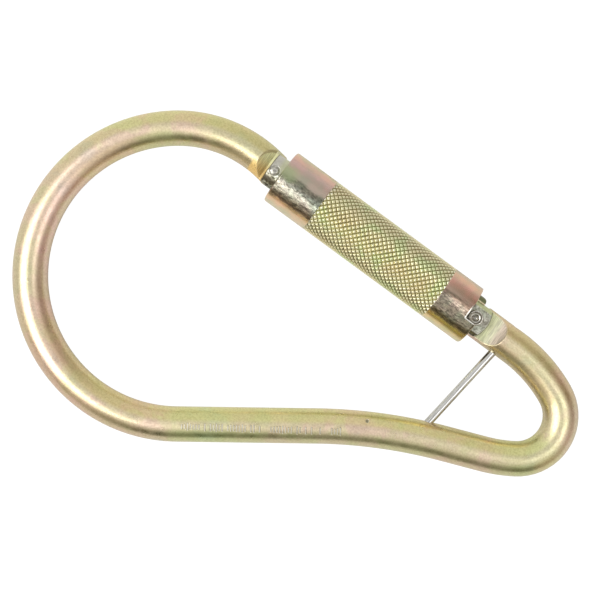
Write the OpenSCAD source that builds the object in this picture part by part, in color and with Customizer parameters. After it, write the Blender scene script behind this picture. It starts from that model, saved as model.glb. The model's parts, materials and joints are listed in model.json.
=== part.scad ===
// Large-opening steel carabiner with a twist-lock sleeve on its gate and a captive eye pin.
// The bar lies in the XY plane with the small bow towards +X and the gate towards +Y.
// The origin is the centre of the bar's bounding box.
// Most pieces are drawn in the gate's own frame: its origin is the hinge, +X runs along
// the gate to the nose, +Y points into the loop and +Z is up.

/* [Bar] */
// Diameter of the round bar
bar_d = 13; // [12.6:0.1:13.2]
// Straight run behind the gate hinge
hinge_run = 18; // [17:0.5:19]
// Centreline radius of the shoulder above the small bow
shoulder_r = 56; // [55:0.5:57]
// Turn of the shoulder
shoulder_turn = 24; // [23.5:0.25:24.5]
// Centreline radius of the small bow
small_bow_r = 16; // [15.5:0.25:16.5]
// Turn of the small bow
small_bow_turn = 122.5; // [122:0.25:123]
// Centreline radius where the small bow runs into the spine
runout_r = 57; // [55:1:59]
// Turn where the small bow runs into the spine
runout_turn = 12; // [11.5:0.25:12.5]
// Straight run of the spine below the captive eye
eye_run = 15; // [14:0.5:16]
// Centreline radius of the spine's outward bend
spine_bend_r = 195; // [190:1:200]
// Turn of the spine's outward bend
spine_bend_turn = 14; // [13.5:0.25:14.5]
// Long straight run of the spine
spine_run = 51.5; // [51:0.25:52]
// Centreline radius of the big bow
big_bow_r = 54.5; // [54.2:0.1:54.8]
// Turn of the big bow
big_bow_turn = 179; // [178.5:0.25:179.5]
// Centreline radius of the bar towards the nose
nose_bow_r = 48; // [47:0.5:49]
// Turn of the bar towards the nose
nose_bow_turn = 46; // [45.5:0.25:46.5]

/* [Hinge] */
// Thickness of the tongue inside the gate's fork
tongue_t = 6; // [5.6:0.1:6]
// Where the tongue's flat starts to run out, behind the hinge
tongue_run = 6.2; // [6:0.1:6.6]
// Radius of the tongue's run-out
runout_cove_r = 8; // [7:0.5:9]
// Radius of the tongue's cam end
cam_r = 5.4; // [5.2:0.1:5.4]
// Offset of the cam's centre into the loop
cam_offset = 0.9; // [0.7:0.1:0.9]
// Rivet shank diameter
rivet_d = 4; // [3.6:0.1:4.2]
// Rivet head diameter
rivet_head_d = 5.8; // [5.4:0.1:6]
// Height of each rivet head
rivet_head_h = 1.2; // [1:0.1:1.3]

/* [Nose] */
// Thickness of the nose hook
hook_t = 5; // [4.6:0.1:5.2]
// Distance from the hinge to the hook's tip
hook_tip = 88.5; // [88.5:0.1:88.6]
// Distance from the hinge to the foot of the nose ramp
ramp_foot = 94.1; // [94:0.1:94.4]
// Distance from the hinge to the latch pin
latch_x = 90.7; // [90.6:0.1:90.8]
// Latch pin diameter
latch_d = 2.2; // [2:0.1:2.2]
// Latch pin head diameter
latch_head_d = 3.4; // [3:0.1:3.4]

/* [Gate] */
// Tilt of the gate against the long axis of the carabiner
gate_tilt = 14.3; // [14.1:0.1:14.5]
// Diameter of the gate arm
gate_d = 13.4; // [13.2:0.1:13.4]
// Distance from the hinge to the gate arm's nose end
gate_l = 93.1; // [92.9:0.1:93.2]
// Reach of the ears behind the hinge
ear_reach = 5.2; // [5:0.1:5.4]
// Radius of the ears' rounded end
ear_end_r = 11; // [9:0.5:14]
// Thickness over the ears' flats
ear_t = 10; // [9.8:0.1:10.2]
// Diameter of the plunger's bore
plunger_bore_d = 6; // [5.8:0.1:6]
// Depth of the plunger's bore from the hinge
plunger_bore_l = 30; // [28:1:34]

/* [Lock sleeve] */
// Outer diameter of the sleeve
sleeve_d = 21.4; // [21:0.1:21.6]
// Inner diameter of the sleeve
sleeve_bore_d = 18.2; // [18:0.1:18.4]
// Distance from the hinge to the sleeve's nose end
sleeve_nose = 88; // [87.8:0.1:88]
// Reach of the sleeve's lip behind the hinge
sleeve_lip = 0.9; // [0.7:0.1:1]
// Distance from the hinge to the cut-back half of the sleeve's hinge end
sleeve_cut = 3.5; // [3.4:0.1:3.8]
// Distance from the gate axis to the side wall of the cut-back
cut_side = 2.3; // [2:0.1:2.6]
// Start of the knurled band, from the hinge
knurl_start = 15.8; // [15:0.1:17]
// End of the knurled band, from the hinge
knurl_end = 69.8; // [69:0.1:71]
// Depth of the knurled band's root below the sleeve's surface
knurl_depth = 0.4; // [0.3:0.05:0.5]
// Twist of the sleeve from locked to free
sleeve_twist = 90; // [80:5:90]

/* [Captive eye] */
// Diameter of the eye pin
eye_pin_d = 3; // [2.6:0.1:3.2]
// Where the pin crosses the bar behind the hinge
eye_pin_x = 13.9; // [13.5:0.1:14.5]
// Lean of the pin towards the nose
eye_pin_lean = 6.3; // [6:0.1:6.6]
// Length of the pin
eye_pin_l = 53; // [52.5:0.1:53.5]

/* [Hidden] */

$fn = 72;
HINGE = [58.4, 26.7, 0];
BAR_R = bar_d / 2;
GATE_R = gate_d / 2;
SLEEVE_R = sleeve_d / 2;
BORE_R = sleeve_bore_d / 2;
FIT = 0.05;
GAP = 0.2;
REACH = 20;

// The bar's centreline from the hinge round to the nose: a bend is [radius, turn] with the
// turn positive into the loop, and a straight run is [0, length].
TONGUE_REACH = 7;
NOSE_REACH = 6;
LEGS = [
    [0, TONGUE_REACH + hinge_run],
    [shoulder_r, shoulder_turn],
    [small_bow_r, small_bow_turn],
    [runout_r, runout_turn],
    [0, eye_run],
    [spine_bend_r, -spine_bend_turn],
    [0, spine_run],
    [big_bow_r, big_bow_turn],
    [nose_bow_r, nose_bow_turn],
    [0, NOSE_REACH]
];
// Every second leg is a hair thinner and runs a hair into its neighbours, so the legs fuse
SEAM_STEP = 0.02;
SEAM_LAP = 0.3;

// Heel that stops the gate closing past the bar
HEEL_BACK = -0.3;
HEEL_FRONT = 3.6;
HEEL_R = 8.3;
HEEL_CORNER = 2;

// Hook
HOOK_SLACK = 0.1;
HOOK_LIP = 2.6;
HOOK_CHAMFER = 1.6;

// Gate arm
FORK_FLOOR = 6.8;
EAR_FLAT = 3.9;
NOSE_SLOT_FLOOR = hook_tip - 3 * GAP;
GATE_CHAMFER = 0.4;
LATCH_SEAT = 6.2;
LATCH_PROUD = 0.2;
PLUNGER_L = 10;
PLUNGER_FACE = cam_r + FIT;
RIVET_DIMPLE_R = 1.6;
RIVET_DIMPLE = 0.4;

// Inside the sleeve
RING_T = 1;
RING_GROOVE_R = 6.1;
RING_OUTER_R = 7.6;
RING_GAP = 40;
HINGE_BUSH = [4, 8.6];
NOSE_BUSH = [80, sleeve_nose];
HINGE_RING = HINGE_BUSH[1] + GAP;
NOSE_RING = NOSE_BUSH[0] - GAP - RING_T;
STOP_X = 81.6;
STOP_R = 1;
STOP_REACH = [4.6, 8.6];
STOP_ANGLE = 60;
STOP_SLACK = 11;
SLOT_FROM = 180 + STOP_ANGLE - sleeve_twist - STOP_SLACK;
SLEEVE_CHAMFER = 0.7;
LIP_CHAMFER = [1.1, 0.8];
LIP_BORE_CHAMFER = [1, 0.6];

// Springs: [mean radius, wire diameter, turns, start, end]
GATE_COIL = [2.3, 0.9, 7, 16.1, 29.4];
SLEEVE_COIL = [7.9, 1.1, 8, 56, 78];
COIL_SIDES = 8;
COIL_STEPS = 16;

// Punch mark on the spine, in the gate's frame
PUNCH = [9.5, 53.6];
PUNCH_D = 1.3;
PUNCH_FLOOR = 5;

module gate_frame() {
    translate(HINGE) rotate(180 - gate_tilt) children();
}

// Turns a shape made about +Z so that its axis lies along the gate
module along_gate() {
    rotate([0, 90, 0]) children();
}

module shaft(r, from, to) {
    translate([from, 0, 0]) along_gate() cylinder(r = r, h = to - from);
}

module ring(r_in, r_out, from, to) {
    difference() {
        shaft(r_out, from, to);
        shaft(r_in, from - 1, to + 1);
    }
}

// One leg of the bar, starting at the origin and leaving along +X
module leg(l, i) {
    side = sign(l[1]);
    turn = abs(l[1]);
    r = BAR_R - (i % 2) * SEAM_STEP;
    lap = (i % 2) * SEAM_LAP;
    if (l[0] == 0) {
        shaft(r, -lap, l[1] + lap);
    } else {
        lap_turn = lap / l[0] * 180 / PI;
        translate([0, -side * l[0], 0])
            rotate((side > 0 ? 90 - turn : -90) - lap_turn)
                rotate_extrude(angle = turn + 2 * lap_turn)
                    translate([l[0], 0]) circle(r = r);
    }
}

module after(l) {
    if (l[0] == 0)
        translate([l[1], 0, 0]) children();
    else
        translate([0, -sign(l[1]) * l[0], 0])
            rotate(-l[1])
                translate([0, sign(l[1]) * l[0], 0]) children();
}

module bar_from(i) {
    if (i < len(LEGS)) {
        leg(LEGS[i], i);
        after(LEGS[i]) bar_from(i + 1);
    }
}

// Extrudes an outline drawn in the gate's length and height right across the bar
module across() {
    rotate([90, 0, 0]) linear_extrude(REACH, center = true) children();
}

module both_faces() {
    children();
    mirror([0, 0, 1]) children();
}

module hinge_flat_cut() {
    half = tongue_t / 2;
    across() {
        translate([-tongue_run, half]) square([tongue_run + REACH, REACH]);
        translate([-tongue_run, half + runout_cove_r]) circle(r = runout_cove_r);
    }
}

module nose_ramp_cut() {
    half = hook_t / 2;
    across() polygon([
        [ramp_foot - REACH, half],
        [ramp_foot, half],
        [ramp_foot + REACH, half + REACH],
        [ramp_foot - REACH, half + REACH]
    ]);
}

module tongue_outline() {
    translate([0, cam_offset]) circle(r = cam_r);
    polygon([
        [-tongue_run - 1, -BAR_R],
        [-tongue_run / 2, -BAR_R],
        [0, cam_offset - cam_r],
        [0, cam_offset + cam_r],
        [-tongue_run / 2, BAR_R],
        [-tongue_run - 1, BAR_R]
    ]);
}

module heel_outline() {
    corner_x = HEEL_BACK + HEEL_CORNER;
    corner_y = HEEL_CORNER - HEEL_R;
    translate([corner_x, corner_y]) circle(r = HEEL_CORNER);
    translate([corner_x, -HEEL_R]) square([HEEL_FRONT - corner_x, HEEL_R - cam_offset]);
    translate([HEEL_BACK, corner_y]) square([HEEL_FRONT - HEEL_BACK, -corner_y - cam_offset]);
}

// Trims the bar's end to the tongue's outline
module tongue_trim() {
    linear_extrude(bar_d + 2, center = true) difference() {
        translate([-tongue_run, -REACH]) square(2 * REACH);
        tongue_outline();
    }
}

module heel() {
    intersection() {
        linear_extrude(tongue_t, center = true) heel_outline();
        shaft(HEEL_R, HEEL_BACK - 1, HEEL_FRONT + 1);
    }
}

module hook_notch_outline() {
    slack_r = latch_d / 2 + HOOK_SLACK;
    translate([latch_x, 0]) circle(r = slack_r);
    translate([latch_x - slack_r, 0]) square([2 * slack_r, REACH]);
    translate([hook_tip - REACH, HOOK_LIP]) square([latch_x + slack_r - hook_tip + REACH, REACH]);
}

module hook_tip_cut() {
    linear_extrude(bar_d + 2, center = true) {
        translate([hook_tip - REACH, -REACH]) square([REACH, 2 * REACH]);
        polygon([
            [hook_tip - 1, -BAR_R + HOOK_CHAMFER + 1],
            [hook_tip - 1, -REACH],
            [hook_tip + REACH - BAR_R + HOOK_CHAMFER, -REACH]
        ]);
    }
    linear_extrude(bar_d + 2, center = true) hook_notch_outline();
}

module eye_pin_at(d, from, to) {
    translate([-eye_pin_x, 0, 0])
        rotate(-eye_pin_lean)
            translate([0, from, 0])
                rotate([-90, 0, 0]) cylinder(d = d, h = to - from);
}

module body() {
    color("#c9bd86") gate_frame() difference() {
        union() {
            difference() {
                translate([TONGUE_REACH, 0, 0]) rotate(180) bar_from(0);
                both_faces() hinge_flat_cut();
                both_faces() nose_ramp_cut();
                hook_tip_cut();
                tongue_trim();
            }
            heel();
        }
        cylinder(d = rivet_d + 2 * FIT, h = bar_d, center = true);
        eye_pin_at(eye_pin_d, -BAR_R - 2, eye_pin_l - BAR_R);
        translate([PUNCH[0], PUNCH[1], PUNCH_FLOOR]) cylinder(d = PUNCH_D, h = BAR_R);
    }
}

module captive_eye_pin() {
    color("#c8c8c8") gate_frame() eye_pin_at(eye_pin_d, GAP - BAR_R, eye_pin_l - BAR_R);
}

module ring_groove(from) {
    ring(RING_GROOVE_R, GATE_R + 1, from - GAP / 2, from + RING_T + GAP / 2);
}

module ear_trim() {
    linear_extrude(gate_d + 2, center = true) difference() {
        translate([-REACH, -REACH]) square([REACH, 2 * REACH]);
        translate([ear_end_r - ear_reach, 0]) circle(r = ear_end_r);
    }
    both_faces() translate([-REACH, -REACH, ear_t / 2]) cube([REACH + EAR_FLAT, 2 * REACH, REACH]);
}

module slot(from, to, t) {
    translate([from, -REACH, -t / 2]) cube([to - from, 2 * REACH, t]);
}

module stop_pin_at(r, from, to) {
    translate([STOP_X, 0, 0])
        rotate([STOP_ANGLE, 0, 0])
            translate([0, 0, from]) cylinder(r = r, h = to - from);
}

module gate_arm() {
    color("#8f918a") gate_frame() difference() {
        along_gate() rotate_extrude() polygon([
            [0, -ear_reach],
            [GATE_R, -ear_reach],
            [GATE_R, gate_l - GATE_CHAMFER],
            [GATE_R - GATE_CHAMFER, gate_l],
            [0, gate_l]
        ]);
        ear_trim();
        slot(-REACH, FORK_FLOOR, tongue_t + 2 * GAP);
        slot(NOSE_SLOT_FLOOR, gate_l + 1, hook_t + 2 * GAP);
        shaft(plunger_bore_d / 2, 0, plunger_bore_l);
        cylinder(d = rivet_d, h = REACH, center = true);
        translate([latch_x, 0, 0]) cylinder(d = latch_d, h = REACH, center = true);
        both_faces() translate([latch_x, 0, LATCH_SEAT])
            cylinder(d = latch_head_d + GAP, h = REACH);
        stop_pin_at(STOP_R, STOP_REACH[0], REACH);
        ring_groove(HINGE_RING);
        ring_groove(NOSE_RING);
    }
}

module latch_pin() {
    head_h = GATE_R + LATCH_PROUD - LATCH_SEAT;
    color("#8a8a85") gate_frame() translate([latch_x, 0, 0]) {
        cylinder(d = latch_d, h = 2 * LATCH_SEAT, center = true);
        both_faces() translate([0, 0, LATCH_SEAT]) cylinder(d = latch_head_d, h = head_h);
    }
}

module hinge_rivet() {
    color("#9a9a94") gate_frame() difference() {
        union() {
            cylinder(d = rivet_d, h = ear_t, center = true);
            both_faces() translate([0, 0, ear_t / 2])
                cylinder(d = rivet_head_d, h = rivet_head_h);
        }
        both_faces() translate([0, 0, ear_t / 2 + rivet_head_h - RIVET_DIMPLE])
            cylinder(r = RIVET_DIMPLE_R, h = 1);
    }
}

module gate_plunger() {
    color("silver") gate_frame()
        shaft(plunger_bore_d / 2 - FIT, PLUNGER_FACE, PLUNGER_FACE + PLUNGER_L);
}

// Round wire wound about the gate axis, from a spring's [radius, wire, turns, start, end]
function coil_centre(c, t) = [
    c[3] + (c[4] - c[3]) * t,
    c[0] * cos(360 * c[2] * t),
    c[0] * sin(360 * c[2] * t)
];
function coil_ring(c, t) =
    let (
        a = 360 * c[2] * t,
        out = [0, cos(a), sin(a)],
        rise = (c[4] - c[3]) / (2 * PI * c[0] * c[2]),
        way = [rise, -sin(a), cos(a)] / sqrt(1 + rise * rise),
        side = cross(way, out)
    )
    [for (k = [0:COIL_SIDES - 1])
        let (b = 360 * k / COIL_SIDES)
        coil_centre(c, t) + c[1] / 2 * (cos(b) * out + sin(b) * side)];

module coil(c) {
    last = c[2] * COIL_STEPS;
    points = [for (i = [0:last]) each coil_ring(c, i / last)];
    sides = [for (i = [0:last - 1]) for (k = [0:COIL_SIDES - 1])
        let (n = (k + 1) % COIL_SIDES, p = i * COIL_SIDES)
        [p + k, p + COIL_SIDES + k, p + COIL_SIDES + n, p + n]];
    ends = [
        [for (k = [0:COIL_SIDES - 1]) k],
        [for (k = [COIL_SIDES - 1:-1:0]) last * COIL_SIDES + k]
    ];
    polyhedron(points, concat(sides, ends), convexity = 10);
}

module gate_spring() {
    color("dimgray") gate_frame() coil(GATE_COIL);
}

module lock_sleeve() {
    root = SLEEVE_R - knurl_depth;
    color("#b9ab72") gate_frame() difference() {
        along_gate() rotate_extrude() polygon([
            [BORE_R, LIP_BORE_CHAMFER[0] - sleeve_lip],
            [BORE_R + LIP_BORE_CHAMFER[1], -sleeve_lip],
            [SLEEVE_R - LIP_CHAMFER[1], -sleeve_lip],
            [SLEEVE_R, LIP_CHAMFER[0] - sleeve_lip],
            [SLEEVE_R, knurl_start],
            [root, knurl_start],
            [root, knurl_end],
            [SLEEVE_R, knurl_end],
            [SLEEVE_R, sleeve_nose - SLEEVE_CHAMFER],
            [SLEEVE_R - SLEEVE_CHAMFER, sleeve_nose],
            [BORE_R, sleeve_nose]
        ]);
        translate([-sleeve_lip - 1, cut_side - REACH, -REACH])
            cube([sleeve_cut + sleeve_lip + 1, REACH, 2 * REACH]);
    }
}

module nose_bush() {
    slot_turn = sleeve_twist + 2 * STOP_SLACK;
    slot_l = STOP_X + STOP_R + GAP - NOSE_BUSH[0] + 1;
    color("#9c9c90") gate_frame() difference() {
        ring(GATE_R + FIT, BORE_R, NOSE_BUSH[0], NOSE_BUSH[1]);
        // the stop pin's slot, open towards the hinge
        translate([NOSE_BUSH[0] - 1, 0, 0]) along_gate()
            rotate(SLOT_FROM)
                rotate_extrude(angle = slot_turn)
                    translate([GATE_R - 1, 0]) square([REACH / 2, slot_l]);
    }
}

module hinge_bush() {
    color("#9c9c90") gate_frame() ring(GATE_R + FIT, BORE_R, HINGE_BUSH[0], HINGE_BUSH[1]);
}

module sleeve_spring() {
    color("dimgray") gate_frame() coil(SLEEVE_COIL);
}

module sleeve_stop_pin() {
    color("silver") gate_frame() stop_pin_at(STOP_R, STOP_REACH[0], STOP_REACH[1]);
}

module snap_ring(from) {
    translate([from, 0, 0]) along_gate()
        rotate_extrude(angle = 360 - RING_GAP)
            translate([RING_GROOVE_R + FIT, 0])
                square([RING_OUTER_R - RING_GROOVE_R - FIT, RING_T]);
}

module nose_snap_ring() {
    color("dimgray") gate_frame() snap_ring(NOSE_RING);
}

module hinge_snap_ring() {
    color("dimgray") gate_frame() snap_ring(HINGE_RING);
}

body();
captive_eye_pin();
gate_arm();
latch_pin();
hinge_rivet();
gate_plunger();
gate_spring();
lock_sleeve();
nose_bush();
hinge_bush();
sleeve_spring();
sleeve_stop_pin();
nose_snap_ring();
hinge_snap_ring();
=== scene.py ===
"""Large-opening steel carabiner with a twist-lock sleeve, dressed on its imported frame.

New pieces are shaped in millimetres in the gate's own frame, whose origin is the hinge, whose
x runs along the gate to the nose, whose y points into the loop and whose z is up. They are
moved to the row frame, in metres, once they are finished.
"""
import json
import logging
import math
from collections.abc import Iterable, Sequence
from dataclasses import dataclass, field
from enum import Enum
from typing import Any

import bmesh
import bpy
from bmesh.types import BMEdge, BMesh, BMVert
from bpy.types import Material
from mathutils import Matrix, Vector


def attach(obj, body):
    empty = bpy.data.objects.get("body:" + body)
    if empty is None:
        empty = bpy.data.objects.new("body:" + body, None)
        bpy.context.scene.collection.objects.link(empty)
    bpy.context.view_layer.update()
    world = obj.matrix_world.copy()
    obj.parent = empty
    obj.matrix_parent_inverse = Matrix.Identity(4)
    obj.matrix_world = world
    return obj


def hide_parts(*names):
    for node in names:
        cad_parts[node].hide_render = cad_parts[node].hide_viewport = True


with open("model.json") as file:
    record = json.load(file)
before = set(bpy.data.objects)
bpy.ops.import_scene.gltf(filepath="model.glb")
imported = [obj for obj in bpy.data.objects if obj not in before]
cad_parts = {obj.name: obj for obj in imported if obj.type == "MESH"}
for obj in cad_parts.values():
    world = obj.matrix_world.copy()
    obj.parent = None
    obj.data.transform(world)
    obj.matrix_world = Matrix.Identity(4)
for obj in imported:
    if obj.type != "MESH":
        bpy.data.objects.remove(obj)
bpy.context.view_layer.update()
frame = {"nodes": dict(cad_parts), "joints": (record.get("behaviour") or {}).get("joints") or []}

MM = 0.001
LOG = logging.getLogger("carabiner")
Colour = tuple[float, float, float]
Point = tuple[float, float]

# Places that more than one piece or finish needs, in millimetres in the gate's frame.
LATCH_X = 90.7
PUNCH: Point = (9.5, 53.6)
KNURL: Point = (15.8, 69.8)
KNURL_ROOT_R = 10.3
SLEEVE_R = 10.7
CUT_BACK: Point = (3.5, 2.3)
EAR_REACH = 5.2
EAR_END_R = 11.0

# How far a cutting tool stands past the stock.
FAR = 20.0
CLEAR = 9.0
THROUGH = 12.0


class Body(Enum):
    """The rigid bodies that a piece can ride on."""

    FRAME = "frame"
    GATE = "gate"
    SLEEVE = "sleeve"


class Slot(Enum):
    """The record's material slots."""

    BAR = "zinc_yellow"
    SLEEVE = "sleeve_yellow"
    GATE = "zinc_grey"
    RIVET = "rivet_steel"
    PIN = "bright_pin"


class Cut(Enum):
    """What a tool does to the stock."""

    AWAY = "DIFFERENCE"
    JOIN = "UNION"
    KEEP = "INTERSECT"


class Plane(Enum):
    """The plane an outline is drawn in; its prism grows across that plane."""

    PLAN = "x and y"
    SIDE = "x and z"


# ---------------------------------------------------------------- shapes


def gate_place() -> Matrix:
    """The move from millimetres in the gate's frame to metres in the row frame."""
    joints = {j["name"]: j for j in frame["joints"]}
    hinge = Vector(joints["gate_swing"]["pos_m"])
    along = Vector(joints["sleeve_twist"]["axis"]).normalized()
    up = Vector((0, 0, 1))
    turn = Matrix((along, up.cross(along), up)).transposed().to_4x4()
    return Matrix.Translation(hinge) @ turn @ Matrix.Scale(MM, 4)


PLACE = gate_place()


def arc(centre: Point, radius: float, start: float, end: float, steps: int) -> list[Point]:
    """Points along an arc.

    Args:
        centre: the arc's centre.
        radius: its radius.
        start: the first point's direction, in degrees.
        end: the last point's direction, in degrees.
        steps: how many chords the arc has.

    Returns:
        steps + 1 points, both ends included.
    """
    turns = [math.radians(start + (end - start) * i / steps) for i in range(steps + 1)]
    return [(centre[0] + radius * math.cos(t), centre[1] + radius * math.sin(t)) for t in turns]


def prism(outline: Sequence[Point], low: float, high: float, plane: Plane = Plane.PLAN) -> BMesh:
    """A straight block with the given outline.

    Args:
        outline: the corners, in the plane's two directions.
        low: where the block starts, across the plane.
        high: where it ends.
        plane: the plane that the outline is drawn in.

    Returns:
        The block as a new bmesh.
    """
    bm = bmesh.new()
    face = bm.faces.new([bm.verts.new((x, y, low)) for x, y in outline])
    grown = bmesh.ops.extrude_face_region(bm, geom=[face])["geom"]
    bmesh.ops.translate(bm, vec=(0, 0, high - low), verts=[g for g in grown if isinstance(g, BMVert)])
    if plane is Plane.SIDE:
        bmesh.ops.rotate(bm, verts=bm.verts, matrix=Matrix.Rotation(math.pi / 2, 3, "X"))
    bmesh.ops.recalc_face_normals(bm, faces=bm.faces)
    return bm


def both_flats(outline: Sequence[Point]) -> list[BMesh]:
    """Two blocks with side outlines that mirror each other, above and below."""
    below = [(x, -z) for x, z in outline]
    return [prism(side, -FAR, FAR, Plane.SIDE) for side in (outline, below)]


def lathe(profile: Sequence[Point], steps: int = 96) -> BMesh:
    """Turns a closed profile of (along, radius) points about the gate's axis."""
    bm = bmesh.new()
    verts = [bm.verts.new((x, r, 0)) for x, r in profile]
    edges = [bm.edges.new(pair) for pair in zip(verts, verts[1:] + verts[:1])]
    turn = {"cent": (0, 0, 0), "axis": (1, 0, 0), "angle": math.tau, "steps": steps}
    bmesh.ops.spin(bm, geom=verts + edges, use_merge=True, **turn)
    bmesh.ops.remove_doubles(bm, verts=bm.verts, dist=1e-4)
    bmesh.ops.delete(bm, geom=[e for e in bm.edges if e.is_wire], context="EDGES")
    bmesh.ops.recalc_face_normals(bm, faces=bm.faces)
    return bm


def standing_pin(end: list[Point], steps: int) -> BMesh:
    """A pin that stands on the gate's axis, turned from the profile of its upper half."""
    bm = lathe([(-x, r) for x, r in reversed(end)] + end, steps)
    bmesh.ops.rotate(bm, verts=bm.verts, matrix=Matrix.Rotation(-math.pi / 2, 3, "Y"))
    return bm


def rod(radius: float, start: Sequence[float], end: Sequence[float], steps: int = 48) -> BMesh:
    """A round rod between two points."""
    bm = bmesh.new()
    a, b = Vector(start), Vector(end)
    turn = (b - a).to_track_quat("Z", "Y").to_matrix().to_4x4()
    place = Matrix.Translation((a + b) / 2) @ turn
    size = {"radius1": radius, "radius2": radius, "depth": (b - a).length}
    bmesh.ops.create_cone(bm, cap_ends=True, segments=steps, matrix=place, **size)
    return bm


def towards(bearing: float, from_zenith: float) -> Vector:
    """A direction from the object, given in degrees."""
    a, e = math.radians(bearing), math.radians(from_zenith)
    return Vector((math.cos(a) * math.sin(e), math.sin(a) * math.sin(e), math.cos(e)))


def loose_object(bm: BMesh, name: str) -> bpy.types.Object:
    """Frees a bmesh into a linked object of that name."""
    mesh = bpy.data.meshes.new(name)
    bm.to_mesh(mesh)
    bm.free()
    thing = bpy.data.objects.new(name, mesh)
    bpy.context.scene.collection.objects.link(thing)
    return thing


def work(stock: BMesh, tools: Iterable[BMesh], cut: Cut = Cut.AWAY) -> BMesh:
    """Cuts the stock with tools, or joins them to it.

    Args:
        stock: the piece being worked, which is used up.
        tools: the tools, which are used up.
        cut: what each tool does.

    Returns:
        The worked piece.
    """
    target = loose_object(stock, "stock")
    used = [loose_object(tool, "tool") for tool in tools]
    for tool in used:
        step = target.modifiers.new("cut", "BOOLEAN")
        step.operation, step.solver, step.object = cut.value, "EXACT", tool
    graph = bpy.context.evaluated_depsgraph_get()
    done = bpy.data.meshes.new_from_object(target.evaluated_get(graph))
    bm = bmesh.new()
    bm.from_mesh(done)
    bpy.data.meshes.remove(done)
    for thing in [target, *used]:
        mesh = thing.data
        bpy.data.objects.remove(thing)
        bpy.data.meshes.remove(mesh)
    return bm


@dataclass
class Piece:
    """A finished mesh and how it joins the frame."""

    name: str
    body: Body
    slot: Slot
    material: Material
    stands_for: tuple[str, ...] = ()
    crease: float = 34.0

    def publish(self, bm: BMesh) -> bpy.types.Object:
        """Moves the mesh to the row frame and makes its object.

        Args:
            bm: the shape, in millimetres in the gate's frame; it is used up.

        Returns:
            The object, riding on its body.
        """
        bmesh.ops.remove_doubles(bm, verts=bm.verts, dist=2e-4)
        bmesh.ops.dissolve_degenerate(bm, dist=2e-4, edges=bm.edges)
        bmesh.ops.recalc_face_normals(bm, faces=bm.faces)
        for face in bm.faces:
            face.smooth = True
        for edge in bm.edges:
            edge.smooth = edge.is_manifold and edge.calc_face_angle(0) < math.radians(self.crease)
        open_edges = sum(not edge.is_manifold for edge in bm.edges)
        bmesh.ops.transform(bm, matrix=PLACE, verts=bm.verts)
        thing = loose_object(bm, self.name)
        thing.data.materials.append(self.material)
        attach(thing, self.body.value)
        if self.stands_for:
            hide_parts(*self.stands_for)
        faces = sum(len(p.vertices) - 2 for p in thing.data.polygons)
        report = "%s: %d triangles, %d open edges, on %s"
        LOG.info(report, self.name, faces, open_edges, self.body.value)
        return thing


# ---------------------------------------------------------------- finishes


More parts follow.
